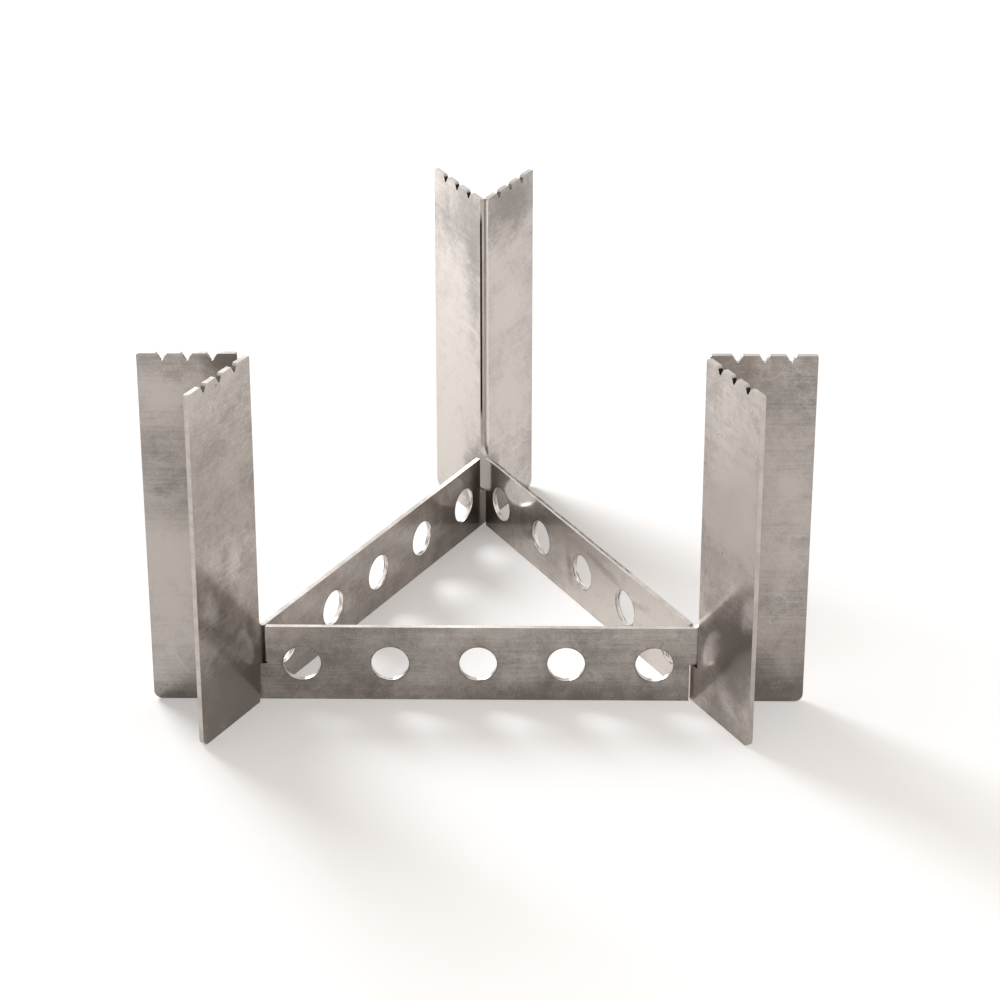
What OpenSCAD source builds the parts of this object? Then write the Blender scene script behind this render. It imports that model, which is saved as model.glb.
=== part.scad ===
// A stove stand of three equal steel plates that slot together into a triangle.
// Each plate is a low bar with an upright past each end. One end of the bar is slotted
// from above and the other from below, so each plate sits under one neighbour and
// hooks over the other. The origin is on the ground, in the middle of the stand, with
// one plate facing -Y.

/* [Stand] */
// Distance between the middles of a plate's two slots
side = 175; // [150:1:200]
// Height from the ground to the tips of the teeth
plate_h = 152; // [120:1:200]
// Length of one plate from end to end
plate_len = 259; // [245:1:300]
// Thickness of the steel sheet
sheet = 2; // [1:0.1:2.5]

/* [Crossbar] */
// Height of the bar that joins the two uprights
bar_h = 33; // [26:1:50]
// Number of air holes in the bar
hole_count = 5; // [3:1:7]
// Diameter of an air hole
hole_d = 15; // [8:0.1:18]

/* [Slots] */
// Clearance between a slot's inner wall and the plate that crosses it
slot_play_in = 1.8; // [1:0.1:3]
// Clearance between an upward slot's outer wall and the plate that crosses it
slot_play_out = 1.9; // [1.2:0.1:4]
// Clearance between a downward slot's outer wall and the plate that crosses it
hook_play_out = 0.5; // [0.3:0.05:3]
// Gap between the closed ends of two slots that meet
seat_gap = 0.4; // [0.3:0.1:1]
// Radius in the corners of a slot's closed end
slot_r = 0.5; // [0.3:0.1:1.5]
// Gap left between the front plate's inner slot walls and the plates pushed in against them
push_gap = 0.35; // [0.3:0.05:1]
// Gap left at the slot wall that the left plate has slid forwards to
slide_gap = 0.5; // [0.5:0.05:1]

/* [Uprights] */
// Distance from the downward slot's middle to the upright beside it
root_gap = 1; // [0.6:0.1:4]
// Radius where that upright meets the top of the bar
root_r = 4; // [1:0.5:8]
// Radius of a plate's two lower outer corners
toe_r = 3.5; // [1:0.5:8]
// Radius of the corners at the tips
tip_r = 0.8; // [0.2:0.1:1.5]
// Number of notches that part the teeth of an upright
notch_count = 3; // [1:1:4]
// Width of a notch at its mouth
notch_w = 4.2; // [2.5:0.1:5]
// Depth of a notch
notch_depth = 3; // [1.5:0.1:5]
// Radius at the bottom of a notch
notch_r = 0.7; // [0.4:0.1:1]

/* [Hidden] */
$fn = 48;
plate_color = "#8f8b86";
// overrun of every cut past the sheet's edge
cut = 1;
// angle between two plates
corner_angle = 60;
// half of what a crossing plate takes up, measured along the plate that it crosses
cross_half = sheet / 2 * (1 / sin(corner_angle) + 1 / tan(corner_angle));
slot_in = cross_half + slot_play_in;
slot_out = cross_half + slot_play_out;
hook_out = cross_half + hook_play_out;
slot_depth = bar_h / 2 + seat_gap / 2;
// how far a plate runs on past the middle of each slot
reach = (plate_len - side) / 2;
// how far the side plates are pushed in along the front plate's slots
push_in = slot_play_in - push_gap;
// how far the left plate has slid forwards along its own length
left_slide = min(slot_play_in, slot_play_out) - slide_gap;
// the triangle that the plates' middle planes make
front_span = side - 2 * push_in;
front_angle = acos(front_span / 2 / side);
triangle_depth = side * sin(front_angle);
// this moves the stand back, so that the origin is in its middle
centring = left_slide * sin(front_angle) / 2;
// where each plate starts, at the middle of its upward slot
front_y = centring - triangle_depth / 2;
front_start = [-side / 2, front_y, 0];
right_start = [front_span / 2, front_y, 0];
left_start = [-left_slide * cos(front_angle), centring + triangle_depth / 2 - left_slide * sin(front_angle), 0];
right_turn = 180 - front_angle;
left_turn = 180 + front_angle;

// What rounding takes off a square corner at the origin, or adds in an inner one.
module corner_piece(r) {
    difference() {
        translate([-cut, -cut]) square(r + cut);
        translate([r, r]) circle(r);
    }
}

// A slot that is open downwards, with its lower left corner at the origin.
module slot_cut(width) {
    difference() {
        translate([0, -cut]) square([width, slot_depth + cut]);
        translate([0, slot_depth]) mirror([0, 1]) corner_piece(slot_r);
        translate([width, slot_depth]) rotate(180) corner_piece(slot_r);
    }
}

// A notch between two teeth, centred on the origin at the tips' height.
module notch() {
    neck = notch_depth - notch_r;
    polygon([[-notch_w / 2, 0], [-notch_w / 2, cut], [notch_w / 2, cut], [notch_w / 2, 0],
             [notch_r, -neck], [-notch_r, -neck]]);
    translate([0, -neck]) circle(notch_r);
}

// Notches at equal steps along an upright that runs from x = from to x = to.
module notches(from, to) {
    step = (to - from) / (notch_count + 1);
    for (i = [1 : notch_count])
        translate([from + i * step, plate_h]) notch();
}

// The flat plate, seen from outside: the slots' middles are at x = 0 and x = side.
module plate_outline() {
    difference() {
        union() {
            difference() {
                translate([-reach, 0]) square([plate_len, plate_h]);
                translate([-slot_out, bar_h])
                    square([slot_out + side + root_gap, plate_h - bar_h + cut]);
            }
            translate([side + root_gap, bar_h]) mirror([1, 0]) corner_piece(root_r);
        }
        translate([-slot_out, bar_h]) square([slot_out + slot_in, cut]);
        translate([slot_in, bar_h]) rotate(180) slot_cut(slot_out + slot_in);
        translate([side - slot_in, 0]) slot_cut(slot_in + hook_out);
        for (i = [0 : hole_count - 1])
            translate([(i + 0.5) * side / hole_count, bar_h / 2]) circle(d = hole_d);
        notches(-reach, -slot_out);
        notches(side + root_gap, side + reach);
        translate([-reach, 0]) corner_piece(toe_r);
        translate([side + reach, 0]) mirror([1, 0]) corner_piece(toe_r);
        translate([-reach, plate_h]) mirror([0, 1]) corner_piece(tip_r);
        translate([-slot_out, plate_h]) rotate(180) corner_piece(tip_r);
        translate([side + root_gap, plate_h]) mirror([0, 1]) corner_piece(tip_r);
        translate([side + reach, plate_h]) rotate(180) corner_piece(tip_r);
    }
}

// One plate, standing on the ground, with the middle of its upward slot at the given start.
module plate(start, turn) {
    translate(start) rotate([0, 0, turn]) rotate([90, 0, 0])
        linear_extrude(sheet, center = true) plate_outline();
}

module front_plate() {
    color(plate_color) plate(front_start, 0);
}

module right_plate() {
    color(plate_color) plate(right_start, right_turn);
}

module left_plate() {
    color(plate_color) plate(left_start, left_turn);
}

front_plate();
right_plate();
left_plate();
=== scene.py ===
from math import acos, cos, pi, radians, sin

import bmesh
import bpy
from mathutils import Euler, Matrix, Vector


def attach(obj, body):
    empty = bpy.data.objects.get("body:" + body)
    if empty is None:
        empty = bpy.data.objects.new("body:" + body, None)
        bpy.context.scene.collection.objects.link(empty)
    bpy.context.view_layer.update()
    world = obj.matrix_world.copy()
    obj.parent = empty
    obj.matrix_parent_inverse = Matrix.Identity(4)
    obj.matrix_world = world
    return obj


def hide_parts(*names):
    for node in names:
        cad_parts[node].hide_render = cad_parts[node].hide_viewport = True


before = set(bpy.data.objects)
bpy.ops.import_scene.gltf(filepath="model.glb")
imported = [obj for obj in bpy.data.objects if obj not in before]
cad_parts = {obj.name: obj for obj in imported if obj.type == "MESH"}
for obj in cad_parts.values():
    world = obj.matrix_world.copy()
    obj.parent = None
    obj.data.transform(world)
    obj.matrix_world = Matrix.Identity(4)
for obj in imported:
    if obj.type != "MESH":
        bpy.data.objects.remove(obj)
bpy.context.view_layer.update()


# The stand is three equal plates, laser cut from 2 mm stainless sheet. Each is a drilled
# bar with a notched upright past each end and two slots, all in one piece. The plates are
# tumbled after cutting, which dulls the sheet, and hook into each other with no fixings.
SIDE = 0.175
SPAN = 0.1721
SLIDE = 0.0013
BAR_HIGH = 0.033
TOP = 0.152
CORNER = acos(SPAN / 2 / SIDE)
FRONT = (SLIDE - SIDE) * sin(CORNER) / 2
BACK = FRONT + SIDE * sin(CORNER)
PLATES = {
    "front_plate": ("front", Vector((-SIDE / 2, FRONT, 0)), 0),
    "right_plate": ("right", Vector((SPAN / 2, FRONT, 0)), pi - CORNER),
    "left_plate": ("left", Vector((-SLIDE * cos(CORNER), BACK - SLIDE * sin(CORNER), 0)), pi + CORNER),
}
REACH = 0.042
HOLE_STEP = SIDE / 5
HOLE_RADIUS = 0.0075
NOTCH_DEPTH = 0.0032

# The most that tumbling rounds a plate's edges and the corners of its teeth. Short edges in
# the mesh, as at the notches' roots, hold it back to 0.04 mm on edges and 0.1 mm on teeth.
EDGE_ROUND = 0.0002
TOOTH_ROUND = 0.00025

# The colours of the steel and of its cut edges, and what sets one plate's sheet apart: how much
# it is brightened as painted reflection, how rough, how dark its notches are painted as shade,
# how burnt round its holes, and where it is dull.
LIGHT_STEEL = (0.432, 0.400, 0.374, 1)
DARK_STEEL = (0.20, 0.180, 0.168, 1)
BRIGHT_CUT = (0.66, 0.61, 0.565, 1)
DULL_CUT = (0.49, 0.45, 0.415, 1)
HOLE_BRIGHT = (0.85, 0.80, 0.75, 1)
HOLE_DARK = (0.26, 0.235, 0.215, 1)
# Black paints shade on the right plate's end edge in the back corner, and a broken line along its bar's
# outer top edge. Near-black paints the shade in the closed ends of the slots. White paints a highlight on
# the left plate's end edge in the back corner.
SHADE_AND_LINE_BLACK = (0.015, 0.013, 0.012, 1)
SLOT_SHADE = (0.05, 0.045, 0.04, 1)
PAINTED_HIGHLIGHT = (0.96, 0.92, 0.88, 1)
# How dark each plate's notch walls are painted, as shade.
NOTCH_SHADE = {"front_plate": 0.27, "right_plate": 0.02, "left_plate": 0.20}
DULLED = {
    "front_plate": (-0.030, 0.100, 0.030, 0.030),
    "right_plate": (-0.026, 0.100, 0.050, 0.036),
    "left_plate": (0.196, 0.106, 0.050, 0.030),
}
SHEEN = {"front_plate": 0.20, "right_plate": 0.12, "left_plate": 0.13}
# How much each plate's colour is brightened, as painted reflection.
REFLECTION_BRIGHTENING = {"front_plate": 1.25, "right_plate": 1.66, "left_plate": 1.55}
SCORCHED_RIM = {"front_plate": 0.45, "right_plate": 1.0, "left_plate": 0.6}
HAZE = 0.40


class Reading:
    """A number or colour that a shader node gives, so that sums of them read as sums."""

    def __init__(self, finish, socket):
        self.finish, self.socket = finish, socket

    def __add__(self, other):
        return self.finish.sum("ADD", self, other)

    def __radd__(self, other):
        return self.finish.sum("ADD", other, self)

    def __sub__(self, other):
        return self.finish.sum("SUBTRACT", self, other)

    def __rsub__(self, other):
        return self.finish.sum("SUBTRACT", other, self)

    def __mul__(self, other):
        return self.finish.sum("MULTIPLY", self, other)

    def __rmul__(self, other):
        return self.finish.sum("MULTIPLY", other, self)


class Finish:
    """A finish that is put together node by node, for a material or for the surroundings."""

    def __init__(self, owner):
        self.owner = owner
        owner.use_nodes = True
        self.tree = owner.node_tree
        self.tree.nodes.clear()

    def node(self, kind, settings=None, output=0, **sockets):
        made = self.tree.nodes.new(kind)
        for name, value in (settings or {}).items():
            setattr(made, name, value)
        for name, value in sockets.items():
            number = name[1:].isdigit()
            socket = made.inputs[int(name[1:])] if number else made.inputs[name.replace("_", " ")]
            if isinstance(value, Reading):
                self.tree.links.new(value.socket, socket)
            else:
                socket.default_value = value
        return Reading(self, made.outputs[output]) if made.outputs else None

    def sum(self, operation, first, second):
        return self.node("ShaderNodeMath", {"operation": operation}, _0=first, _1=second)

    def step(self, value, low, high):
        """0 below low, 1 above high and smooth between."""
        return self.node("ShaderNodeMapRange", {"interpolation_type": "SMOOTHSTEP"}, Value=value,
                         From_Min=low, From_Max=high)

    def blend(self, mask, first, second):
        return self.node("ShaderNodeMix", {"data_type": "RGBA"}, output=2, _0=mask, _6=first, _7=second)

    def noise(self, at, size, detail=3.0, bend=0.0, seed=0.0):
        """Soft random patches about size metres across."""
        return self.node("ShaderNodeTexNoise", {"noise_dimensions": "4D"}, Vector=at, W=seed,
                         Scale=1 / size, Detail=detail, Distortion=bend)

    def on_plate(self, corner, turn):
        """Coordinates along, through and up a plate, from the middle of its upward slot."""
        here = self.node("ShaderNodeTexCoord", output=3)
        back = Matrix.Rotation(-turn, 3, "Z") @ corner
        return self.node("ShaderNodeMapping", Vector=here, Location=-back, Rotation=Euler((0, 0, -turn)))

    def one_way(self, at, axis):
        """One coordinate alone: 0 along, 1 through and 2 up."""
        return self.node("ShaderNodeSeparateXYZ", output=axis, _0=at)

    def drawn_out(self, at, stretch, lean=0.0):
        """The same coordinates, leant and then stretched."""
        leant = self.node("ShaderNodeMapping", Vector=at, Rotation=Euler((0, lean, 0)))
        return self.node("ShaderNodeMapping", Vector=leant, Scale=stretch)

    def far(self, at, along, up, reach, rise, lean=0.0):
        """Distance from a place on the plate: 1 on the rim of an oval of that reach and rise."""
        near = self.node("ShaderNodeMapping", {"vector_type": "TEXTURE"}, Vector=at, Location=(along, 0, up),
                         Rotation=Euler((0, lean, 0)), Scale=(reach, 1, rise))
        return self.node("ShaderNodeVectorMath", {"operation": "LENGTH"}, output=1, _0=near)

    def scratches(self, at, lean, length, width, thin, seed):
        """Straight hairlines at one lean, up to length by width metres. A larger thin keeps fewer."""
        at = self.drawn_out(at, (0.35 / length, 40, 0.35 / width), lean)
        cells = dict(Vector=at, W=seed, Scale=1.0)
        near = self.node("ShaderNodeTexVoronoi", {"voronoi_dimensions": "4D"}, output=0, **cells)
        kept = self.node("ShaderNodeTexVoronoi", {"voronoi_dimensions": "4D"}, output=1, **cells)
        chosen = self.node("ShaderNodeSeparateColor", output=0, _0=kept)
        return (1 - self.step(near, 0.0, 0.35)) * self.step(chosen, thin, thin + 0.02)

    def camera_ray(self):
        return self.node("ShaderNodeLightPath", output=0)

    def mirror_ray(self):
        """1 where a reflection or clear glass looks straight at it."""
        glossy, through = (self.node("ShaderNodeLightPath", output=kind) for kind in (3, 6))
        return self.sum("MAXIMUM", glossy, through)

    def bump(self, height, distance, over=None):
        under = {"Normal": over} if over else {}
        return self.node("ShaderNodeBump", Strength=1.0, Distance=distance, Height=height, **under)

    def steel(self, colour, roughness, normal, haze=0.0):
        """Bare steel. Haze is the share of it that mirrors things only dimly."""
        metal = dict(Base_Color=colour, Metallic=1.0, Normal=normal)
        shader = self.node("ShaderNodeBsdfPrincipled", Roughness=roughness, **metal)
        if haze:
            dim = self.node("ShaderNodeBsdfPrincipled", Roughness=roughness + 0.26, **metal)
            shader = self.node("ShaderNodeMixShader", _0=haze, _1=shader, _2=dim)
        self.node("ShaderNodeOutputMaterial", Surface=shader)
        return self.owner


# Marks on one plate, in metres and degrees. A stain or painted shade has how much lighter it makes
# the sheet, its place along and up, its reach, rise and lean. Those that darken the feet, the lower
# edge of the bars and the back corner are painted shade, the broad one darkening the top of the
# right plate's back upright is a painted reflection, and the rest are stains. An arc rubbed by a
# neighbour has its centre, its radius, and the place and reach of the stretch that shows. A dent
# has its place and its reach.
STAINS_AND_PAINTED_SHADE = {
    "front_plate": [(-0.12, -0.028, 0.095, 0.016, 0.017, 8), (-0.08, -0.038, 0.112, 0.010, 0.010, 0),
                    (0.10, -0.024, 0.050, 0.030, 0.050, 0), (-0.80, -0.006, 0.149, 0.013, 0.013, 0),
                    (0.16, -0.036, 0.060, 0.014, 0.030, 0), (0.14, -0.033, 0.135, 0.010, 0.008, 35),
                    (-0.45, -0.030, 0.000, 0.030, 0.009, 0), (-0.20, 0.0875, 0.012, 0.15, 0.034, 0),
                    (-0.40, 0.130, -0.002, 0.080, 0.014, 0), (-0.22, 0.205, 0.138, 0.034, 0.020, 0),
                    (0.20, 0.209, 0.097, 0.009, 0.006, 20), (0.14, 0.210, 0.066, 0.008, 0.009, 0),
                    (-0.50, 0.205, 0.004, 0.034, 0.020, 0)],
    "right_plate": [(-0.40, 0.190, 0.137, 0.034, 0.026, 20), (-0.30, 0.181, 0.110, 0.010, 0.030, 0),
                    (0.30, -0.026, 0.100, 0.030, 0.040, 0), (-0.70, -0.028, 0.036, 0.036, 0.026, 15),
                    (0.25, 0.205, 0.060, 0.030, 0.045, 0), (0.20, 0.205, 0.026, 0.034, 0.030, 0),
                    (-0.36, -0.030, 0.004, 0.030, 0.018, 0), (-1.00, 0.176, 0.014, 0.020, 0.028, 0),
                    (-0.40, 0.098, 0.014, 0.004, 0.010, 12), (-0.55, 0.126, 0.017, 0.014, 0.003, 30),
                    (-0.35, 0.070, 0.026, 0.022, 0.003, -8), (-0.40, 0.044, 0.022, 0.016, 0.0025, 14),
                    (0.22, 0.030, 0.018, 0.060, 0.030, 0), (0.16, 0.088, 0.016, 0.030, 0.030, 0)],
    "left_plate": [(-0.45, -0.022, 0.142, 0.034, 0.020, 0), (0.22, -0.024, 0.097, 0.024, 0.012, 8),
                   (0.25, 0.191, 0.070, 0.006, 0.010, 0), (0.35, 0.196, 0.030, 0.034, 0.0065, -42),
                   (0.10, -0.020, 0.050, 0.030, 0.030, 0), (-0.75, 0.196, 0.012, 0.044, 0.030, 0),
                   (-0.22, 0.190, 0.056, 0.034, 0.034, 0), (-0.12, 0.080, 0.016, 0.080, 0.034, 0),
                   (0.15, -0.022, 0.060, 0.030, 0.050, 0), (-1.1, 0.000, 0.012, 0.016, 0.030, 0),
                   (-0.45, 0.026, 0.012, 0.026, 0.030, 0)],
}
RUB_ARCS = {
    "front_plate": [(-0.0126, 0.0276, 0.0215, -0.034, 0.018, 0.013),
                    (-0.034, 0.126, 0.013, -0.024, 0.134, 0.011)],
    "right_plate": [(0.187, 0.060, 0.030, 0.187, 0.088, 0.010)],
    "left_plate": [(0.190, 0.074, 0.0075, 0.190, 0.068, 0.008),
                   (-0.027, 0.122, 0.026, -0.018, 0.098, 0.016)],
}
DENTS = {
    "front_plate": [(-0.0395, 0.004, 0.0006), (-0.037, 0.0062, 0.0004), (0.030, 0.028, 0.0003)],
    "right_plate": [(0.1995, 0.1275, 0.0004), (0.2093, 0.127, 0.0006), (0.195, 0.083, 0.0003),
                    (0.118, 0.011, 0.0006), (-0.014, 0.0085, 0.0005)],
    "left_plate": [(0.207, 0.048, 0.0009), (0.1985, 0.1487, 0.0008), (-0.0405, 0.123, 0.0006)],
}


def sheet_finish(node, corner, turn, seed):
    """Tumbled sheet: cloudy, faintly grained along the plate, with stains, painted shade and painted
    reflection, rubs and fine scratches.
    """
    f = Finish(bpy.data.materials.new(node + "_sheet"))
    at = f.on_plate(corner, turn)
    cloud = f.noise(at, 0.045, 4.0, 0.6, seed)
    smudge = f.noise(at, 0.016, 5.0, 1.2, seed + 3)
    mottle = f.noise(at, 0.0028, 3.0, 0.0, seed + 5)
    fleck = f.noise(at, 0.0009, 2.0, 0.0, seed + 6)
    grain = f.noise(f.drawn_out(at, (30, 500, 1400)), 1.0, 2.0, 0.0, seed)
    hair = (f.scratches(at, radians(12), 0.022, 0.0003, 0.72, seed)
            + f.scratches(at, radians(-38), 0.016, 0.00028, 0.80, seed + 1)
            + f.scratches(at, radians(71), 0.012, 0.00028, 0.84, seed + 2))
    tide = f.noise(at, 0.03, 3.0, 1.6, seed + 9)
    ring = f.step(tide, 0.585, 0.60) * (1 - f.step(tide, 0.60, 0.615))
    stain = f.step(tide, 0.60, 0.63)
    pit_at = f.drawn_out(at, (1, 40, 1))
    near = f.node("ShaderNodeTexVoronoi", {"voronoi_dimensions": "4D"}, Vector=pit_at, W=seed + 4.0,
                  Scale=70.0)
    pit = 1 - f.step(near, 0.012, 0.03)
    for along, up, reach in DENTS[node]:
        pit = f.sum("MAXIMUM", pit, 1 - f.step(f.far(at, along, up, reach, reach), 0.5, 1.0))
    light = 0.64 + (cloud - 0.5) * 0.9 + (smudge - 0.5) * 0.7 + (mottle - 0.5) * 0.45 + (grain - 0.5) * 0.4
    light = light + (fleck - 0.5) * 0.55
    # Stains, together with the painted shade low down and in the back corner and the painted reflection on
    # the right plate's back upright.
    for change, along, up, reach, rise, lean in STAINS_AND_PAINTED_SHADE[node]:
        ragged = f.far(at, along, up, reach, rise, radians(lean)) + (smudge - 0.5) * 0.5
        light = light + (1 - f.step(ragged, 0.1, 1.1)) * change
    rubbed = hair
    for along, up, radius, mid_along, mid_up, reach in RUB_ARCS[node]:
        round_it = f.far(at, along, up, radius, radius)
        line = f.step(round_it, 0.955, 0.99) * (1 - f.step(round_it, 1.0, 1.03))
        rubbed = rubbed + line * (1 - f.step(f.far(at, mid_along, mid_up, reach, reach), 0.5, 1.0)) * 1.5
    place = f.one_way(at, 0)
    beside = f.sum("MODULO", place, HOLE_STEP) - HOLE_STEP / 2
    above = f.one_way(at, 2) - BAR_HIGH / 2
    from_hole = f.sum("SQRT", beside * beside + above * above, 0.0) + (mottle - 0.5) * 0.0018
    near_rim = 1 - f.step(from_hole, HOLE_RADIUS - 0.00005, HOLE_RADIUS + 0.00065)
    scorched = near_rim * (1 - f.step(place, SIDE - 0.001, SIDE))
    light = light - scorched * SCORCHED_RIM[node]
    light = light + rubbed * 0.22 + ring * 0.10 - stain * 0.08 - pit * 0.9
    # Each plate's steel colours are scaled by its own factor. This is painted reflection brightness,
    # standing in for how much lit floor that plate mirrors.
    dark, bright = ([REFLECTION_BRIGHTENING[node] * part for part in steel[:3]] + [1]
                    for steel in (DARK_STEEL, LIGHT_STEEL))
    colour = f.blend(f.step(light, 0.0, 1.0), dark, bright)
    dull = 1 - f.step(f.far(at, *DULLED[node]), 0.5, 1.1)
    roughness = (SHEEN[node] + (cloud - 0.5) * 0.08 + (smudge - 0.5) * 0.12 + (mottle - 0.5) * 0.08
                 + rubbed * 0.06 + stain * 0.03 + dull * 0.22)
    waves = f.noise(at, 0.05, 1.0, 0.0, seed + 7)
    fine = f.bump(grain + mottle * 0.7 - rubbed * 0.8, 0.00001, f.bump(waves, 0.0005))
    return f.steel(colour, roughness, fine, HAZE)


def edge_finish(node, corner, turn, seed):
    """Cut edges, rubbed bright by tumbling, with faint lines left across them by the laser.

    In the back corner, the right plate's is painted black on its inner half, as shade, and the left
    plate's is painted white, as a highlight. The right plate's bar has a broken black line along its
    outer top edge. The closed end of each upward slot, where a neighbour sits, is painted dark as shade.
    """
    f = Finish(bpy.data.materials.new(node + "_edge"))
    at = f.on_plate(corner, turn)
    cloud = f.noise(at, 0.006, 4.0, 0.0, seed)
    lines = f.noise(f.drawn_out(at, (2500, 120, 2500)), 1.0, 1.0, 0.0, seed)
    colour = f.blend(f.step(cloud * 0.7 + lines * 0.3, 0.3, 0.7), DULL_CUT, BRIGHT_CUT)
    if node == "right_plate":
        # Painted shade: the inner half of the right plate's end edge in the back corner.
        painted_shade = 1 - f.step(f.far(at, SIDE + 0.001, 0.098, 0.0012, 0.050), 0.85, 1.0)
        inner = f.step(f.one_way(at, 1), -0.0001, 0.0002)
        on_crest = 1 - f.step(f.far(at, 0.110, BAR_HIGH, 0.062, 0.0008), 0.9, 1.0)
        broken = f.step(f.noise(f.drawn_out(at, (1, 60, 60)), 0.0035, 3.0, 0.0, seed + 1), 0.44, 0.50)
        outer = 1 - f.step(f.one_way(at, 1), -0.0003, 0.0003)
        black = f.sum("MAXIMUM", painted_shade * inner, on_crest * broken * outer)
        colour = f.blend(black, colour, SHADE_AND_LINE_BLACK)
    if node == "left_plate":
        # Painted highlight: the left plate's end edge in the back corner, painted white.
        highlight = 1 - f.step(f.far(at, -0.0036, 0.0845, 0.0012, 0.080), 0.85, 1.0)
        colour = f.blend(highlight, colour, PAINTED_HIGHLIGHT)
    # Painted shade in the closed end of each upward slot, where a neighbour sits.
    seat_shade = 1 - f.step(f.far(at, 0.0, BAR_HIGH / 2, 0.0048, 0.0012), 0.9, 1.0)
    colour = f.blend(seat_shade, colour, SLOT_SHADE)
    return f.steel(colour, 0.40 + (cloud - 0.5) * 0.2, f.bump(lines, 0.00002))


def hole_finish(node, corner, turn, seed):
    """Walls of the air holes: bright and dark bars left through the sheet by the laser."""
    f = Finish(bpy.data.materials.new(node + "_hole"))
    at = f.on_plate(corner, turn)
    bars = f.noise(f.drawn_out(at, (220, 1500, 220)), 1.0, 3.0, 0.0, seed + 6)
    colour = f.blend(f.step(bars, 0.36, 0.60), HOLE_DARK, HOLE_BRIGHT)
    return f.steel(colour, 0.30 + (bars - 0.5) * 0.2, f.bump(bars, 0.00003))


def notch_finish(node, corner, turn, seed):
    """Walls of the notches, painted dark in patches as the shade that falls into them."""
    f = Finish(bpy.data.materials.new(node + "_notch"))
    at = f.on_plate(corner, turn)
    shade_patches = f.noise(f.drawn_out(at, (1200, 150, 1200)), 1.0, 2.0, 0.0, seed + 8)
    # Painted shade on the notch walls, in darker and lighter patches.
    tone = NOTCH_SHADE[node]
    dark = (tone * 0.6, tone * 0.55, tone * 0.5, 1)
    light = (tone * 1.4, tone * 1.25, tone * 1.1, 1)
    colour = f.blend(f.step(shade_patches, 0.35, 0.65), dark, light)
    tip = f.step(f.one_way(at, 2), TOP - 0.0012, TOP - 0.0006)
    colour = f.blend(tip, colour, DULL_CUT)
    return f.steel(colour, 0.45 + (shade_patches - 0.5) * 0.3, f.bump(shade_patches, 0.00004))


def tumbled_plate(node, body, corner, turn, seed):
    """A copy of the plate's solid with its teeth softened and its edges rounded."""
    facing = Matrix.Rotation(turn, 3, "Z") @ Vector((0, -1, 0))
    along = Matrix.Rotation(turn, 3, "Z") @ Vector((1, 0, 0))
    cut = bmesh.new()
    cut.from_mesh(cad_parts[node].data)
    bmesh.ops.remove_doubles(cut, verts=cut.verts, dist=1e-6)
    bmesh.ops.dissolve_limit(cut, angle_limit=radians(0.5), verts=cut.verts, edges=cut.edges,
                             delimit={"NORMAL"})

    def flat(face):
        return abs(face.normal @ facing) > 0.9

    def on_rim(edge):
        return len(edge.link_faces) == 2 and flat(edge.link_faces[0]) != flat(edge.link_faces[1])

    def across(edge):
        way = (edge.verts[1].co - edge.verts[0].co).normalized()
        return abs(way @ facing) > 0.99 and edge.calc_face_angle(0) > radians(12)

    teeth = [e for e in cut.edges if across(e) and e.verts[0].co.z > TOP - NOTCH_DEPTH]
    bmesh.ops.bevel(cut, geom=teeth, offset=TOOTH_ROUND, offset_type="OFFSET", affect="EDGES", segments=3,
                    profile=0.5, material=-1, clamp_overlap=True)
    rims = [e for e in cut.edges if on_rim(e)]
    bmesh.ops.bevel(cut, geom=rims, offset=EDGE_ROUND, offset_type="OFFSET", affect="EDGES", segments=2,
                    profile=0.5, material=-1, clamp_overlap=True)
    finishes = [sheet_finish, edge_finish, hole_finish, notch_finish]
    for face in cut.faces:
        middle = face.calc_center_median()
        place, up = (middle - corner) @ along, middle.z
        beside, above = abs(place % HOLE_STEP - HOLE_STEP / 2), up - BAR_HIGH / 2
        near_hole = 0 < place < SIDE and beside ** 2 + above ** 2 < (HOLE_RADIUS + 3 * EDGE_ROUND) ** 2
        near_ends = place < 0.0005 - REACH or place > SIDE + REACH - 0.0005
        cut_through = abs(face.normal @ facing) < 0.3
        if abs(face.normal @ facing) > 0.999:
            finish = sheet_finish
        elif near_hole:
            finish = hole_finish
        elif up > TOP - NOTCH_DEPTH and face.normal.z < 0.96 and cut_through and not near_ends:
            finish = notch_finish
        else:
            finish = edge_finish
        face.smooth = True
        face.material_index = finishes.index(finish)
    for edge in cut.edges:
        edge.smooth = edge.calc_face_angle(0) < radians(40)
    mesh = bpy.data.meshes.new(node + "_tumbled")
    cut.to_mesh(mesh)
    cut.free()
    plate = bpy.data.objects.new(node + "_tumbled", mesh)
    bpy.context.scene.collection.objects.link(plate)
    for finish in finishes:
        mesh.materials.append(finish(node, corner, turn, seed))
    even = plate.modifiers.new("even shading", "WEIGHTED_NORMAL")
    even.keep_sharp = True
    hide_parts(node)
    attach(plate, body)


for count, (node, (body, corner, turn)) in enumerate(PLATES.items()):
    tumbled_plate(node, body, corner, turn, 11.0 * (count + 1))


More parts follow.
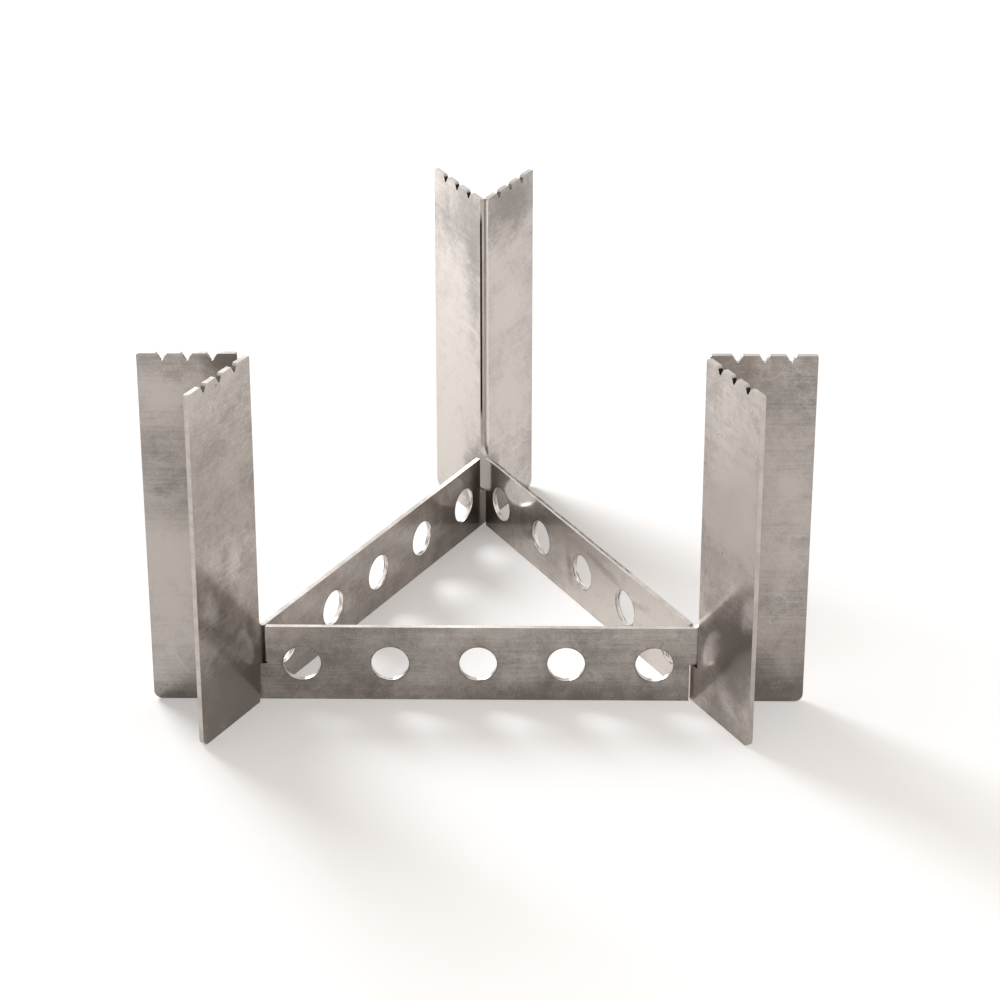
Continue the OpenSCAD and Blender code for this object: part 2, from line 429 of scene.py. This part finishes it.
# The lamp stands behind the stand and to its left. It is large and soft, and slightly cool
# against the warm light that the surroundings throw into the shadows.
LAMP_TURN = 40.0
LAMP_RISE = 29.5
LAMP_DISTANCE = 1.2
LAMP_WIDTH = 0.66
LAMP_LEVEL = 0.55
LAMP_COLOUR = (0.955, 0.98, 1.0)
FILL = 0.50
FILL_COLOUR = (1.0, 0.915, 0.848, 1)
lamp_turn, lamp_rise = radians(LAMP_TURN), radians(LAMP_RISE)
lamp_from = Vector((-sin(lamp_turn) * cos(lamp_rise), cos(lamp_turn) * cos(lamp_rise), sin(lamp_rise)))
lamp_data = bpy.data.lights.new("soft lamp", "AREA")
lamp_data.shape = "DISK"
lamp_data.size = LAMP_WIDTH
lamp_data.color = LAMP_COLOUR
lamp_data.energy = LAMP_LEVEL * pi ** 2 * LAMP_DISTANCE ** 2 / lamp_from.z
lamp = bpy.data.objects.new("soft lamp", lamp_data)
lamp.location = lamp_from * LAMP_DISTANCE
lamp.rotation_euler = lamp_from.to_track_quat("Z", "Y").to_euler()
lamp.visible_camera = False
bpy.context.scene.collection.objects.link(lamp)

surroundings = bpy.data.worlds.new("white surroundings")
bpy.context.scene.world = surroundings
f = Finish(surroundings)
fill = f.node("ShaderNodeBackground", Color=FILL_COLOUR, Strength=FILL)
white = f.node("ShaderNodeBackground", Color=(1, 1, 1, 1), Strength=1.0)
seen = f.sum("MAXIMUM", f.camera_ray(), f.mirror_ray())
f.node("ShaderNodeOutputWorld", Surface=f.node("ShaderNodeMixShader", _0=seen, _1=fill, _2=white))


# The floor is a matt white table top that the stand is photographed on. Away from the
# lamp its own white makes up for the weaker light, so that only the shadows show on it.
FLOOR_WHITE = 0.85
FLOOR_LEVEL = 1.13
MIRRORED_LEVEL = 0.97
table_top = bmesh.new()
bmesh.ops.create_grid(table_top, x_segments=2, y_segments=2, size=6)
floor_mesh = bpy.data.meshes.new("floor")
table_top.to_mesh(floor_mesh)
table_top.free()
floor = bpy.data.objects.new("floor", floor_mesh)
bpy.context.scene.collection.objects.link(floor)
f = Finish(bpy.data.materials.new("matt white table"))
spot = f.node("ShaderNodeTexCoord", output=3)
to_lamp = f.node("ShaderNodeVectorMath", {"operation": "SUBTRACT"}, _0=lamp.location, _1=spot)
apart = f.node("ShaderNodeVectorMath", {"operation": "LENGTH"}, output=1, _0=to_lamp)
facing = f.node("ShaderNodeVectorMath", {"operation": "DOT_PRODUCT"}, output=1, _0=to_lamp, _1=lamp_from)
lit = facing * f.sum("POWER", apart, -4.0) * (FLOOR_WHITE * LAMP_LEVEL * LAMP_DISTANCE ** 3)
shown = f.sum("MAXIMUM", FLOOR_LEVEL - FLOOR_WHITE * FILL - lit, 0.0) * f.camera_ray()
mirrored = f.sum("MAXIMUM", MIRRORED_LEVEL - FLOOR_WHITE * FILL - lit, 0.0) * f.mirror_ray()
glow = f.blend(f.sum("MAXIMUM", shown, mirrored), (0, 0, 0, 1), (1, 1, 1, 1))
matt = f.node("ShaderNodeBsdfPrincipled", Base_Color=(FLOOR_WHITE, FLOOR_WHITE, FLOOR_WHITE, 1),
              Roughness=0.9, Specular_IOR_Level=0.0, Emission_Color=glow, Emission_Strength=1.0)
f.node("ShaderNodeOutputMaterial", Surface=matt)
floor_mesh.materials.append(f.owner)


# The camera looks down on the stand at about 27 degrees from in front of the front plate,
# from far enough off that the plates' lines hardly converge.
camera_data = bpy.data.cameras.new("camera")
camera_data.sensor_width = 36
camera_data.lens = 121.66
camera = bpy.data.objects.new("camera", camera_data)
camera.location = (0.02103, -1.23915, 0.69262)
camera.rotation_euler = Euler((radians(90 - 27.40), 0, 0.0106))
bpy.context.scene.collection.objects.link(camera)
bpy.context.scene.camera = camera
bpy.context.scene.view_settings.view_transform = "Standard"
